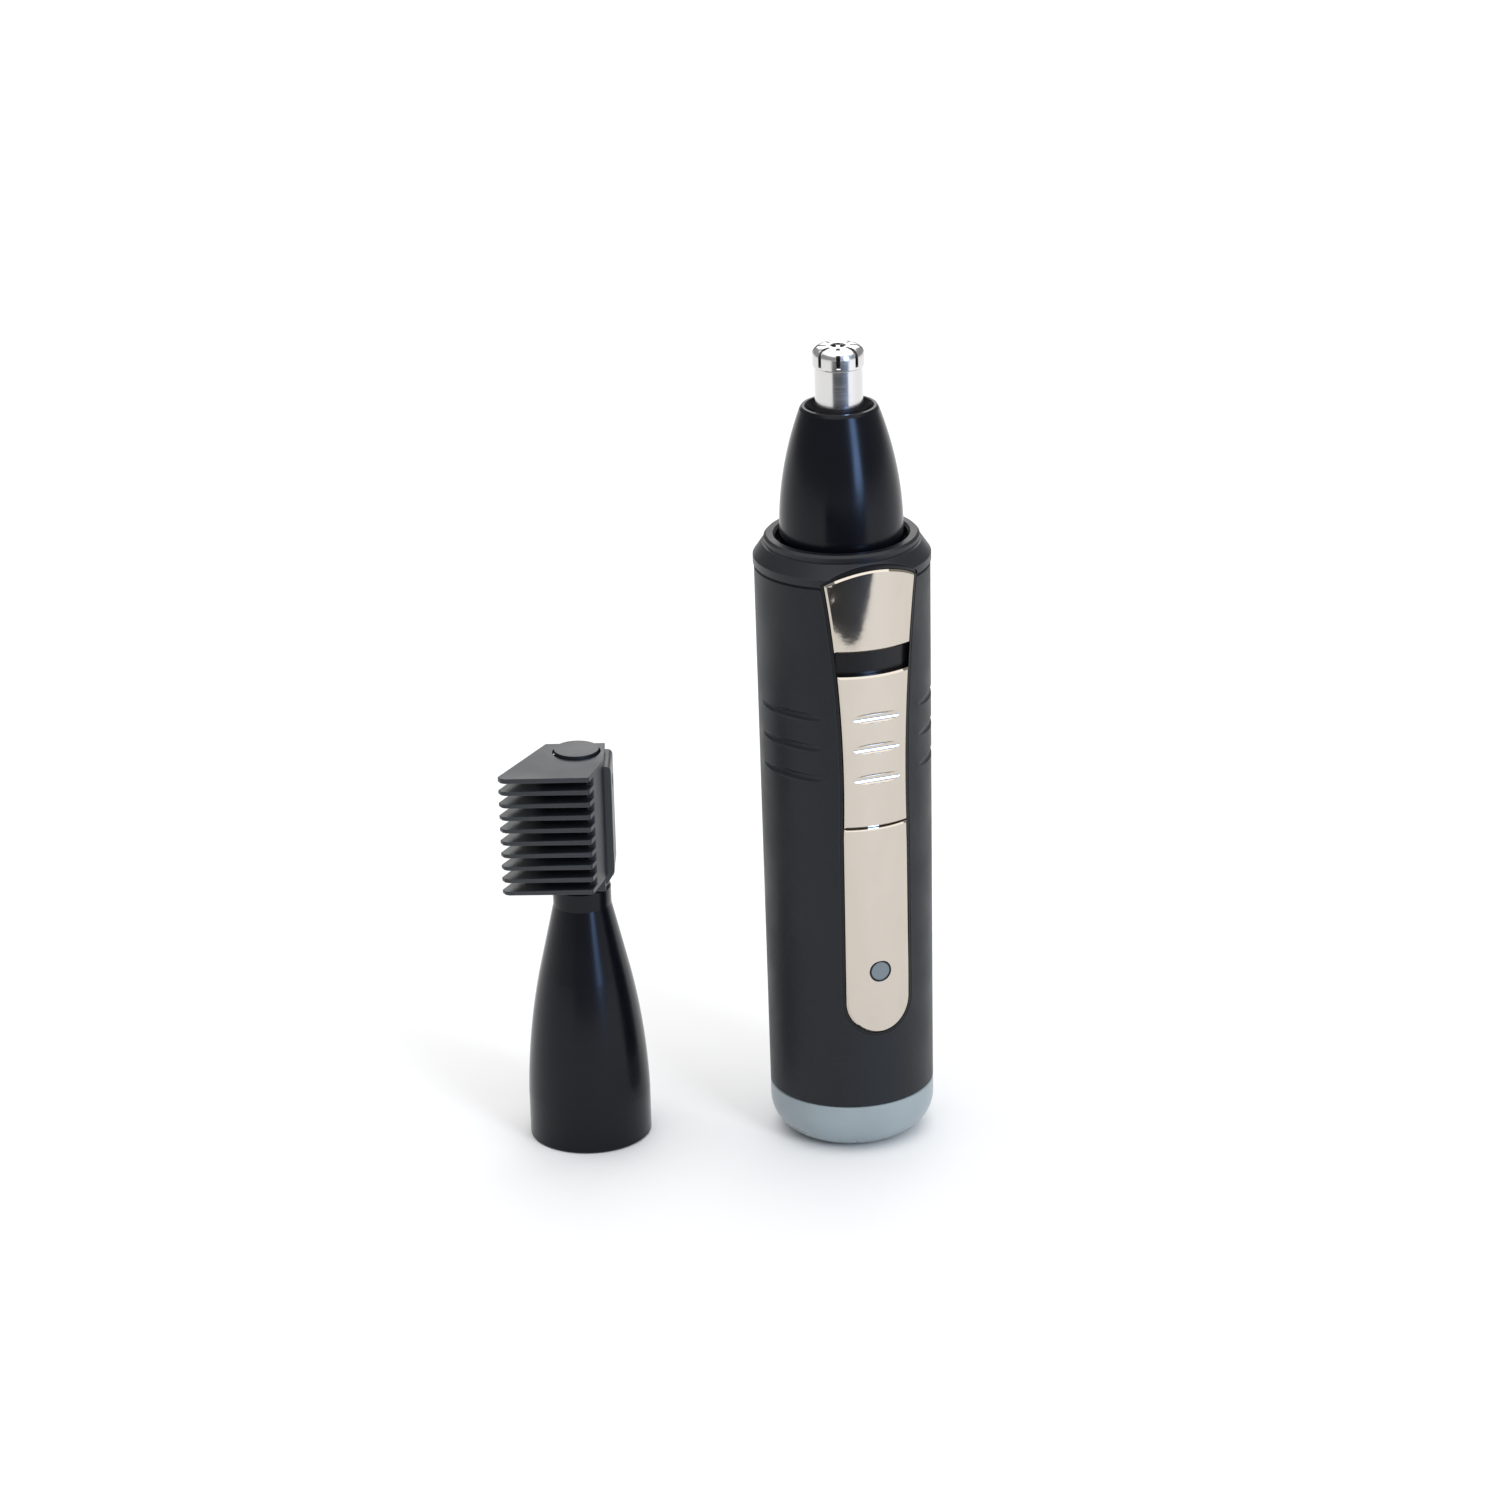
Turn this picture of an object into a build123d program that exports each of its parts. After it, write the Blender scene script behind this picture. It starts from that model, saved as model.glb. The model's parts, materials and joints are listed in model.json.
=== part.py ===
"""Rechargeable nose hair trimmer: a round handle with its nose head plugged on, and the sideburn head
with its guide comb standing beside it.

Millimetres, +Z up. The origin is where the handle's axis meets the surface that it stands on, and the
control panel faces -Y. Heights in the handle are measured from that surface, and heights in a head from
the head's own seat plane, which is the plane of its open lower rim.
"""

import os
from math import atan2, cos, degrees, radians, sin

from build123d import *

os.makedirs("parts", exist_ok=True)

# ---------------------------------------------------------------- driving dimensions: handle
handle_top_r = 14.5
handle_bottom_r = 13.85
bore_r = 11.6
cap_height = 8.8
cap_edge_r = 6.0
cap_floor = 2.4
cap_plug_height = 4.5
cap_plug_wall = 1.5
sleeve_length = 92.6
sleeve_top = cap_height + sleeve_length
slip = 0.1  # radial clearance of a plug in its bore
snug = 0.05  # clearance between fixed pieces that touch
plug_r = bore_r - slip

# ---------------------------------------------------------------- control panel on the front
panel_top_half = 7.9
panel_waist_half = 6.2
panel_low_half = 5.6
panel_shoulder_z = sleeve_top + 0.6
panel_waist_z = sleeve_top - 15.4
panel_straight_z = sleeve_top - 43.4
panel_bottom_z = sleeve_top - 79.0
panel_arch_rise = 2.3
bezel_margin = 0.55
bezel_floor = 0.6
pocket_depth = 1.5
plate_rise = 0.25
plate_edge = 0.3
slider_low = sleeve_top - 41.7
slider_high = sleeve_top - 15.1
slider_travel = 3.9
slider_gap = 0.15
notch_centre_z = sleeve_top - 27.8
notch_pitch = 5.35
notch_r = 1.0
notch_sink = 0.58
lens_z = sleeve_top - 67.8
lens_r = 1.7
light_pipe_r = 1.0

# ---------------------------------------------------------------- side grips
grip_angle = 64.0
grip_path_r = 20.0
grip_tube_r = 0.95
grip_depth = 0.45

# ---------------------------------------------------------------- collar and head interface
collar_r = 12.8
collar_height = 5.1
collar_step = 0.15
shoulder_rise = 1.6
shoulder_top = 3.8
recess_r = 10.9
recess_drop = 2.2
boss_r = 8.0
boss_height = 3.2
boss_hole_r = 3.4
collar_plug_depth = 5.0
head_r = 10.2
head_gap = 0.2
socket_r = boss_r + slip
socket_depth = 3.4
inner_r = 7.6
ring_height = 2.4
ring_hole_r = 3.4
cup_r = 3.2
cup_low = 3.5
cup_high = 11.5
cup_slot = 1.6
tongue_thick = 1.2
tongue_wide = 5.2
tongue_long = 4.0

# ---------------------------------------------------------------- nose head
nose_height = 23.7
nose_top_r = 6.5
tube_r = 3.95
cutter_head_r = 4.25
cutter_head_long = 3.2
tube_wall = 0.35
tube_top = 33.7
tube_dome_r = 1.5
tube_hole_r = 1.3
tube_flange_r = 5.1
tube_flange_z = 19.6
tube_slots = 8
tube_slot_wide = 0.65
tube_slot_long = 2.9
rim_bevel = 2.0

# ---------------------------------------------------------------- inside the handle
chassis_low = 13.6
chassis_drop = 0.8  # the chassis ends this far below the collar's plug
chassis_r = 11.45
chassis_wall = 1.0
bulkhead = 1.5
board_front_y = -9.2
board_thick = 1.0
board_half_width = 6.6
board_low = 28.0
board_drop = 2.1  # the board ends this far below the chassis's top bulkhead
battery_r = 7.25
battery_length = 49.5
battery_nub_r = 2.75
battery_nub = 1.0
battery_gap = 1.45  # from the board's back to the cell
battery_low = 16.9
motor_r = 10.2
motor_flat = 7.7
motor_wall = 0.8
motor_length = 22.6
motor_drop = 0.2  # the motor lies this far below the chassis's top bulkhead
motor_cap = 2.0
shaft_r = 1.0
shaft_reach = 1.7  # above the collar's recess floor
rotor_r = 6.4
rotor_length = 13.0
rotor_rise = 3.7  # above the motor can's open end
pin_x = 4.0
pin_r = 1.2

# ---------------------------------------------------------------- sideburn head
stand_x = -42.2
stand_y = 14.9
stand_turn = -21.0
side_rim_r = 10.3
side_knee_z = 29.7
side_knee_r = 7.7
neck_z = 42.0
neck_r = 4.9
neck_top = 45.5
neck_top_r = 4.6
neck_bore_r = 3.0
post_r = 4.2
post_back = 5.8
button_r = 3.7
button_rise = 0.5
cam_r = 3.2
cam_core_r = 1.7
cam_low = 49.6
cam_high = 58.4
cam_gap = 3.6
cam_tilt = 10.0
spindle_r = 1.4
blade_thick = 0.5
blade_low = 48.0
blade_root_x = -4.6
blade_tip_x = -7.6
tooth_pitch = 1.25
tooth_count = 15
stroke = 0.6
screw_shank_r = 0.6

# ---------------------------------------------------------------- guide comb
comb_tip_x = -12.5
comb_back_y = 3.7
comb_back_x = -5.3
comb_side_x = 2.6
comb_root_x = 4.6
comb_low = 48.4
comb_high = 69.2
comb_teeth = 10
comb_tooth = 0.85
comb_wall = 1.0
comb_spine_set = 2.4  # the spine stands this far behind the tooth faces
comb_gap = 0.3

# ---------------------------------------------------------------- planes and shared helpers
collar_low = sleeve_top
recess_floor_z = collar_low + collar_height - recess_drop
chassis_high = collar_low - collar_plug_depth - chassis_drop
motor_high = chassis_high - bulkhead - motor_drop
motor_low = motor_high - motor_length
rotor_low = motor_low + rotor_rise
rotor_high = rotor_low + rotor_length
shaft_high = recess_floor_z + shaft_reach
board_high = chassis_high - bulkhead - board_drop
board_back_y = board_front_y + board_thick
battery_y = board_back_y + battery_gap + battery_r
battery_high = battery_low + battery_length
contact_thick = 0.25
plus_z = battery_high + battery_nub + 0.02
mid_bulkhead_z = plus_z + contact_thick + 0.03
nose_seat = Plane.XY.offset(recess_floor_z + head_gap)
post_top = comb_high - comb_tooth - comb_gap  # the post ends under the comb's closed top plate
blade_high = post_top - 0.2
stand_seat = Plane(
    origin=(stand_x, stand_y, 0),
    x_dir=(cos(radians(stand_turn)), sin(radians(stand_turn)), 0),
    z_dir=(0, 0, 1),
)
front = Plane.XZ  # its normal points out of the front of the handle, along -Y


def upright(seat):
    """The plane through a seat's axis whose own x and y are the seat's x and up."""
    return Plane(origin=seat.origin, x_dir=seat.x_dir, z_dir=-seat.y_dir)


def turned(seat, points):
    """A solid of revolution about a seat's axis, from a closed outline of (radius, height) points."""
    with BuildPart() as body:
        with BuildSketch(upright(seat)):
            with BuildLine():
                Polyline(*points, close=True)
            make_face()
        revolve(axis=Axis(seat.origin, seat.z_dir))
    return body.part


def disc(seat, low, high, outer, inner=0.0):
    """A plain disc, tube or pin between two heights above a seat."""
    if inner:
        return turned(seat, [(inner, low), (outer, low), (outer, high), (inner, high)])
    return turned(seat, [(0, low), (outer, low), (outer, high), (0, high)])


def spring(seat, low, high, radius, wire_r, pitch):
    """A coil spring about a seat's axis whose wire lies between two heights."""
    start = low + wire_r
    coil = Pos(0, 0, start) * Helix(pitch=pitch, height=high - wire_r - start, radius=radius)
    path = seat.location * coil
    with BuildPart() as body:
        with BuildSketch(Plane(origin=path @ 0, z_dir=path % 0)):
            Circle(wire_r)
        sweep(path=path)
    return body.part


def save(part, name):
    """Labels a finished piece and writes its STEP file."""
    part.label = name
    export_step(part, f"parts/{name}.step")


def handle_r(z):
    """Outer radius of the tapered handle at a height."""
    share = (z - cap_height) / sleeve_length
    return handle_bottom_r + share * (handle_top_r - handle_bottom_r)


def wall_band(inner, outer):
    """A tapered ring that covers the panel's height, between two offsets from the handle's surface."""
    low, high = panel_bottom_z - 5, panel_shoulder_z + panel_arch_rise + 5
    return turned(
        Plane.XY,
        [
            (handle_r(low) + inner, low),
            (handle_r(low) + outer, low),
            (handle_r(high) + outer, high),
            (handle_r(high) + inner, high),
        ],
    )


def panel_outline(grow):
    """The panel's necktie outline seen from the front, moved outwards by grow."""
    with BuildSketch() as outline:
        with BuildLine():
            right = [(panel_top_half, panel_shoulder_z), (panel_waist_half, panel_waist_z)]
            right += [(panel_low_half, panel_straight_z)]
            left = [(-x, z) for x, z in right]
            round_z = panel_bottom_z + panel_low_half
            ThreePointArc(left[0], (0, panel_shoulder_z + panel_arch_rise), right[0])
            ThreePointArc(*right)
            Line(right[2], (panel_low_half, round_z))
            ThreePointArc((panel_low_half, round_z), (0, panel_bottom_z), (-panel_low_half, round_z))
            Line((-panel_low_half, round_z), left[2])
            ThreePointArc(*reversed(left))
        make_face()
        if grow:
            offset(amount=grow)
    return outline.sketch


def panel_piece(grow, inner, outer, low=0.0, high=200.0):
    """A curved plate with the panel's outline, cut off below low and above high."""
    with BuildPart() as piece:
        with BuildSketch(front):
            add(panel_outline(grow))
            with Locations((0, (low + high) / 2)):
                Rectangle(4 * panel_top_half, high - low, mode=Mode.INTERSECT)
        extrude(amount=handle_top_r + 5, dir=front.z_dir)
        add(wall_band(inner, outer), mode=Mode.INTERSECT)
    return piece.part


def outer_rim(piece):
    """The outline of a curved plate's outer face, which is the one furthest forward."""
    return piece.faces().sort_by(Axis.Y)[0].outer_wire().edges()


# ================================================================ handle: outer pieces
pocket = panel_piece(bezel_margin + snug, -pocket_depth - snug, 5)
slider_middle = (slider_low + slider_high) / 2
stem_half = 1.4
stem_length = 10.0
stem_low = slider_middle - stem_length / 2
slot_half = stem_half + 0.3
slot_low = stem_low - 0.3
slot_high = stem_low + stem_length + slider_travel + 0.3


def slider_slot(depth_from):
    """The slot that the slider's stem runs in, as a cutter that reaches out from a depth."""
    with BuildPart() as slot:
        with BuildSketch(front.offset(depth_from)):
            with Locations((0, (slot_low + slot_high) / 2)):
                SlotOverall(slot_high - slot_low, 2 * slot_half, rotation=90)
        extrude(amount=handle_top_r)
    return slot.part


def grip_grooves():
    """Crescent grooves on both sides of the handle, deepest in the middle and running out at each end."""
    cutters = []
    for side in (-1, 1):
        for step in (-1, 0, 1):
            z = notch_centre_z + step * notch_pitch
            angle = radians(-90 + side * grip_angle)
            middle_r = handle_r(z) + grip_tube_r - grip_depth
            shift = grip_path_r - middle_r
            centre = Vector(-shift * cos(angle), -shift * sin(angle), z)
            start = angle - radians(30)
            offset_to_start = Vector(cos(start), sin(start), 0)
            with BuildPart() as groove:
                with BuildSketch(
                    Plane(origin=centre + offset_to_start * grip_path_r, x_dir=offset_to_start,
                          z_dir=Vector(0, 0, 1).cross(offset_to_start))
                ):
                    Circle(grip_tube_r)
                revolve(axis=Axis(centre, (0, 0, 1)), revolution_arc=60)
            cutters.append(groove.part)
    return cutters


with BuildPart() as handle_sleeve:
    with BuildSketch(front):
        with BuildLine():
            Polyline(
                (bore_r, cap_height),
                (handle_bottom_r - 0.2, cap_height),
                (handle_bottom_r, cap_height + 0.2),
                (handle_top_r, sleeve_top - 0.3),
                (handle_top_r - 0.3, sleeve_top),
                (bore_r, sleeve_top),
                close=True,
            )
        make_face()
    revolve(axis=Axis.Z)
    add(pocket, mode=Mode.SUBTRACT)
    add(slider_slot(bore_r - 2), mode=Mode.SUBTRACT)
    with BuildSketch(front.offset(bore_r - 2)):
        with Locations((0, lens_z)):
            Circle(light_pipe_r + 0.1)
    extrude(amount=handle_top_r, mode=Mode.SUBTRACT)
    for groove in grip_grooves():
        add(groove, mode=Mode.SUBTRACT)
save(handle_sleeve.part, "handle_sleeve")

collar_top = collar_low + collar_height
collar_out = handle_top_r + collar_step
with BuildPart() as top_collar:
    with BuildSketch(front):
        with BuildLine():
            Polyline(
                (plug_r - 2, collar_low - collar_plug_depth),
                (plug_r, collar_low - collar_plug_depth),
                (plug_r, collar_low),
                (collar_out - 0.35, collar_low),
                (collar_out, collar_low + 0.35),
                (collar_out, collar_low + shoulder_rise),
                (collar_r + 0.35, collar_low + shoulder_top),
                (collar_r, collar_low + shoulder_top + 0.1),
                (collar_r, collar_top - 0.4),
                (collar_r - 0.4, collar_top),
                (recess_r + 0.4, collar_top),
                (recess_r, collar_top - 0.4),
                (recess_r, recess_floor_z),
                (boss_r, recess_floor_z),
                (boss_r, recess_floor_z + boss_height - 0.4),
                (boss_r - 0.4, recess_floor_z + boss_height),
                (boss_hole_r, recess_floor_z + boss_height),
                (boss_hole_r, recess_floor_z - 1.8),
                (plug_r - 2, recess_floor_z - 1.8),
                close=True,
            )
        make_face()
    revolve(axis=Axis.Z)
    add(pocket, mode=Mode.SUBTRACT)
save(top_collar.part, "top_collar")

seal_z = cap_height + cap_plug_height / 2
seal_wire_r = 0.48
seal_ring_r = bore_r - seal_wire_r - 0.02
cap_screw_r = 0.95
cap_screw_head_r = 2.0
cap_screw_y = (-5.2, 5.2)
with BuildPart() as bottom_cap:
    with BuildSketch(front):
        with BuildLine():
            base_r = handle_bottom_r - cap_edge_r
            Line((0, cap_floor), (0, 0))
            Line((0, 0), (base_r, 0))
            RadiusArc((base_r, 0), (handle_bottom_r, cap_edge_r), -cap_edge_r)
            Line((handle_bottom_r, cap_edge_r), (handle_bottom_r, cap_height - 0.2))
            Polyline(
                (handle_bottom_r, cap_height - 0.2),
                (handle_bottom_r - 0.2, cap_height),
                (plug_r, cap_height),
                (plug_r, seal_z - seal_wire_r - snug),
                (seal_ring_r - seal_wire_r - snug, seal_z - seal_wire_r - snug),
                (seal_ring_r - seal_wire_r - snug, seal_z + seal_wire_r + snug),
                (plug_r, seal_z + seal_wire_r + snug),
                (plug_r, cap_height + cap_plug_height),
                (plug_r - cap_plug_wall, cap_height + cap_plug_height),
                (plug_r - cap_plug_wall, cap_edge_r),
                (base_r, cap_floor),
                (0, cap_floor),
            )
        make_face()
    revolve(axis=Axis.Z)
    with Locations((pin_x, 0, cap_floor), (-pin_x, 0, cap_floor)):
        Hole(pin_r + snug, depth=2 * cap_floor)
    with Locations(*[Plane(origin=(0, y, 0), z_dir=(0, 0, -1)) for y in cap_screw_y]):
        CounterBoreHole(cap_screw_r + snug, cap_screw_head_r + snug, 1.3, depth=2 * cap_floor)
save(bottom_cap.part, "bottom_cap")

with BuildPart() as cap_seal:
    with BuildSketch(front):
        with Locations((seal_ring_r, seal_z)):
            Circle(seal_wire_r)
    revolve(axis=Axis.Z)
save(cap_seal.part, "cap_seal")



def cap_screw(y):
    """One of the two screws that hold the bottom cap, with its cross-slotted head in the counterbore."""
    seat = Plane(origin=(0, y, 0), x_dir=(1, 0, 0), z_dir=(0, 0, 1))
    with BuildPart() as screw:
        add(disc(seat, 0.3, 1.28, cap_screw_head_r))
        add(disc(seat, 1.28, chassis_low - 0.6, cap_screw_r))
        with BuildSketch(seat.offset(0.3)):
            Rectangle(2.6, 0.5)
            Rectangle(0.5, 2.6)
        extrude(amount=0.5, mode=Mode.SUBTRACT)
    return screw.part


save(Compound(children=[cap_screw(y) for y in cap_screw_y]), "cap_screws")

with BuildPart() as charge_contacts:
    with BuildSketch(Plane.XY.offset(0.3)):
        with Locations((pin_x, 0), (-pin_x, 0)):
            Circle(pin_r)
    extrude(amount=cap_floor - 0.3 + snug)
    with BuildSketch(Plane.XY.offset(cap_floor + snug)):
        with Locations((pin_x, 0), (-pin_x, 0)):
            Circle(pin_r + 0.5)
    extrude(amount=0.8)
save(charge_contacts.part, "charge_contacts")

# ================================================================ control panel
bezel_top = -0.05
bed = -pocket_depth + bezel_floor
with BuildPart() as panel_bezel:
    add(panel_piece(bezel_margin, -pocket_depth, bezel_top))
    add(panel_piece(0.12, bed, 5), mode=Mode.SUBTRACT)
    add(slider_slot(bore_r - 2), mode=Mode.SUBTRACT)
    with BuildSketch(front.offset(bore_r - 2)):
        with Locations((0, lens_z)):
            Circle(light_pipe_r + 0.1)
    extrude(amount=handle_top_r, mode=Mode.SUBTRACT)
save(panel_bezel.part, "panel_bezel")

with BuildPart() as upper_plate:
    add(panel_piece(0, bed + snug, plate_rise, low=slider_high + slider_travel + 0.3))
    chamfer(outer_rim(upper_plate), plate_edge)
save(upper_plate.part, "upper_plate")

with BuildPart() as lower_plate:
    add(panel_piece(0, bed + snug, plate_rise, high=slider_low - 0.25))
    with BuildSketch(front.offset(bore_r)):
        with Locations((0, lens_z)):
            Circle(lens_r + snug)
    extrude(amount=handle_top_r, mode=Mode.SUBTRACT)
    chamfer(outer_rim(lower_plate), plate_edge)
save(lower_plate.part, "lower_plate")

with BuildPart() as indicator_lens:
    with BuildSketch(front.offset(handle_r(lens_z) + bed + 0.1)):
        with Locations((0, lens_z)):
            Circle(lens_r)
    extrude(amount=plate_rise - bed - 0.15)
    with BuildSketch(front.offset(-board_front_y + 1.6)):
        with Locations((0, lens_z)):
            Circle(light_pipe_r)
    extrude(until=Until.NEXT)
    fillet(indicator_lens.faces().sort_by(Axis.Y)[0].edges(), 0.2)
save(indicator_lens.part, "indicator_lens")

# ---------------------------------------------------------------- the slide switch
carrier_front = 10.95
carrier_back = 10.0
carrier_half = 3.2
carrier_length = 16.0
with BuildPart() as switch_slider:
    add(panel_piece(0, bed + slider_gap, plate_rise + 0.1, low=slider_low, high=slider_high))
    chamfer(outer_rim(switch_slider), plate_edge)
    with BuildSketch(front.offset(carrier_back + 0.3)):
        with Locations((0, slider_middle)):
            RectangleRounded(2 * stem_half, stem_length, stem_half - 0.05)
    extrude(amount=handle_r(slider_middle) - pocket_depth + bezel_floor + 0.4 - carrier_back - 0.3)
    for step in (-1, 0, 1):
        z = notch_centre_z + step * notch_pitch
        surface = handle_r(z) + plate_rise + 0.1
        with BuildSketch(Plane.YZ.offset(-panel_waist_half)):
            with Locations((-(surface + notch_r - notch_sink), z)):
                Circle(notch_r)
        extrude(amount=2 * panel_waist_half, mode=Mode.SUBTRACT)
save(switch_slider.part, "switch_slider")

with BuildPart() as switch_carrier:
    with BuildSketch(front.offset(carrier_back)):
        with Locations((0, slider_middle)):
            RectangleRounded(2 * carrier_half, carrier_length, 0.8)
            hole_half = stem_half + 0.02
            RectangleRounded(2 * hole_half, stem_length + 0.04, hole_half - 0.05, mode=Mode.SUBTRACT)
    extrude(amount=carrier_front - carrier_back)
save(switch_carrier.part, "switch_carrier")

with BuildPart() as switch_contact:
    with BuildSketch(front.offset(carrier_back - 0.25)):
        with Locations((0, slider_middle)):
            RectangleRounded(3.6, carrier_length - 2, 0.8)
    extrude(amount=0.25)
    with BuildSketch(front.offset(-board_front_y + 0.1)):
        with Locations((0, slider_middle - 5), (0, slider_middle + 5)):
            Circle(0.6)
    extrude(amount=carrier_back - 0.25 + board_front_y - 0.1)
save(switch_contact.part, "switch_contact")

# ================================================================ inside the handle
screw_boss_r = 2.2
with BuildPart() as inner_chassis:
    with BuildSketch(Plane.XY.offset(chassis_low)):
        Circle(chassis_r)
        Circle(chassis_r - chassis_wall, mode=Mode.SUBTRACT)
        with Locations((0, -chassis_r - 3.5)):
            Rectangle(4 * chassis_r, 2 * chassis_r, mode=Mode.SUBTRACT)
    extrude(amount=chassis_high - chassis_low)
    for z in (chassis_low, mid_bulkhead_z, chassis_high - bulkhead):
        with BuildSketch(Plane.XY.offset(z)):
            Circle(chassis_r)
            with Locations((0, board_front_y + board_thick + snug - chassis_r)):
                Rectangle(4 * chassis_r, 2 * chassis_r, mode=Mode.SUBTRACT)
        extrude(amount=bulkhead)
    boss_low = cap_floor + slip
    with BuildSketch(Plane.XY.offset(boss_low)):
        with Locations(*[(0, y) for y in cap_screw_y]):
            Circle(screw_boss_r)
    extrude(amount=chassis_low - boss_low)
    with BuildSketch(Plane.XY.offset(boss_low)):
        with Locations(*[(0, y) for y in cap_screw_y]):
            Circle(cap_screw_r + 0.02)
    extrude(amount=chassis_low - boss_low, mode=Mode.SUBTRACT)
    with BuildSketch(Plane.XY.offset(chassis_high - bulkhead)):
        Circle(boss_hole_r - 0.2)
        with Locations((6, 0), (-6, 0)):
            Circle(0.8)
    extrude(amount=bulkhead, mode=Mode.SUBTRACT)
save(inner_chassis.part, "inner_chassis")

with BuildPart() as circuit_board:
    with BuildSketch(front.offset(-board_back_y)):
        with Locations((0, (board_low + board_high) / 2)):
            RectangleRounded(2 * board_half_width, board_high - board_low, 0.6)
    extrude(amount=board_thick)
save(circuit_board.part, "circuit_board")

with BuildPart() as board_components:
    with BuildSketch(front.offset(-board_front_y + 0.02)):
        with Locations(*[(x, lens_z + 8.4 + z) for x in (-3.6, 3.6) for z in (-2, 2)]):
            Rectangle(3.2, 1.6)
        with Locations((0, lens_z + 16.4)):
            Rectangle(5, 4)
        with Locations((-4, lens_z + 22.4), (4, lens_z + 22.4)):
            Rectangle(2, 3.6)
    extrude(amount=0.9)
    fillet(board_components.edges().filter_by(Axis.Y), 0.15)
save(board_components.part, "board_components")

with BuildPart() as indicator_led:
    with BuildSketch(front.offset(-board_front_y + 0.02)):
        with Locations((0, lens_z)):
            Rectangle(2.8, 2.8)
    extrude(amount=0.7)
    with BuildSketch(front.offset(-board_front_y + 0.72)):
        with Locations((0, lens_z)):
            Circle(1.0)
    extrude(amount=0.7)
save(indicator_led.part, "indicator_led")

battery_axis = Plane(origin=(0, battery_y, 0), x_dir=(1, 0, 0), z_dir=(0, 0, 1))
with BuildPart() as battery_cell:
    add(disc(battery_axis, battery_low, battery_high, battery_r))
    fillet(battery_cell.edges().filter_by(GeomType.CIRCLE), 0.5)
    add(disc(battery_axis, battery_high, battery_high + battery_nub, battery_nub_r))
save(battery_cell.part, "battery_cell")

strip_half = 1.2
strip_front = -board_back_y - snug
minus_z = chassis_low + bulkhead + 0.02


def contact_plate(z, disc_r):
    """A battery end contact: a round plate with a strip that runs forward to the circuit board."""
    with BuildPart() as plate:
        with BuildSketch(Plane.XY.offset(z)):
            with Locations((0, battery_y)):
                Circle(disc_r)
            with Locations((0, -strip_front / 2)):
                Rectangle(2 * strip_half, strip_front)
        extrude(amount=contact_thick)
    return plate.part


with BuildPart() as minus_contact:
    add(contact_plate(minus_z, 5.5))
    with BuildSketch(front.offset(strip_front - contact_thick)):
        with Locations((0, (minus_z + board_low + 2) / 2)):
            Rectangle(2 * strip_half, board_low + 2 - minus_z)
    extrude(amount=contact_thick)
save(minus_contact.part, "minus_contact")
save(contact_plate(plus_z, 4.0), "plus_contact")
minus_spring = spring(battery_axis, minus_z + contact_thick + 0.02, battery_low - 0.02, 3.4, 0.2, 0.55)
save(minus_spring, "minus_spring")


def charge_lead(side):
    """One insulated lead from a charging contact up to the foot of the circuit board."""
    lead_r = 0.45
    lead_x = 0.75 * pin_x
    lead_y = board_back_y - lead_r - 0.12
    route = [
        (side * pin_x, 0, cap_floor + snug + 0.85),
        (side * pin_x, 0, cap_floor + 4.6),
        (side * lead_x, lead_y, cap_height + 2.5),
        (side * lead_x, lead_y, board_low - snug),
    ]
    with BuildPart() as lead:
        with BuildLine() as path:
            FilletPolyline(*route, radius=2.2)
        with BuildSketch(Plane(origin=path.line @ 0, z_dir=path.line % 0)):
            Circle(lead_r)
        sweep(path=path.line)
    return lead.part


save(Compound(children=[charge_lead(-1), charge_lead(1)]), "charge_leads")

# ---------------------------------------------------------------- motor, fixed pieces
bushing_r = 2.9
end_bushing_r = 2.0


def motor_section(shrink):
    """The motor's round section with its two flats, moved inwards by shrink."""
    with BuildSketch() as section:
        Circle(motor_r - shrink)
        Rectangle(4 * motor_r, 2 * (motor_flat - shrink), mode=Mode.INTERSECT)
    return section.sketch


with BuildPart() as motor_can:
    add(Pos(0, 0, motor_low) * motor_section(0))
    extrude(amount=motor_high - motor_low)
    add(Pos(0, 0, motor_low) * motor_section(motor_wall))
    extrude(amount=motor_high - motor_low - 1.0, mode=Mode.SUBTRACT)
    with BuildSketch(Plane.XY.offset(motor_high - 1.0)):
        Circle(bushing_r + 0.02)
        with Locations((6, 0), (-6, 0)):
            Circle(0.8)
    extrude(amount=1.0, mode=Mode.SUBTRACT)
save(motor_can.part, "motor_can")

with BuildPart() as motor_end_cap:
    add(Pos(0, 0, motor_low - motor_cap) * motor_section(0.1))
    extrude(amount=motor_cap - 0.02)
    with BuildSketch(Plane.XY.offset(motor_low - motor_cap)):
        Circle(end_bushing_r + 0.02)
    extrude(amount=motor_cap, mode=Mode.SUBTRACT)
save(motor_end_cap.part, "motor_end_cap")

front_bushing = disc(Plane.XY, motor_high - 1.0, motor_high + 1.2, bushing_r, shaft_r + 0.05)
end_bushing = disc(Plane.XY, motor_low - motor_cap, motor_low - 0.05, end_bushing_r, shaft_r + 0.05)
save(Compound(children=[front_bushing, end_bushing]), "motor_bushings")

with BuildPart() as motor_magnets:
    with BuildSketch(Plane.XY.offset(rotor_low)):
        Circle(motor_r - motor_wall - snug)
        Circle(rotor_r + 0.4, mode=Mode.SUBTRACT)
        Rectangle(4 * motor_r, 10.0, mode=Mode.INTERSECT)
    extrude(amount=rotor_high - rotor_low)
save(motor_magnets.part, "motor_magnets")

with BuildPart() as motor_terminals:
    tab_from = motor_flat - 0.1 + 0.02
    with BuildSketch(front.offset(tab_from)):
        with Locations((-4, motor_low - 1.2), (4, motor_low - 1.2)):
            Rectangle(2.0, 1.0)
    extrude(amount=-board_back_y - 0.02 - tab_from)
save(motor_terminals.part, "motor_terminals")


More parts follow.
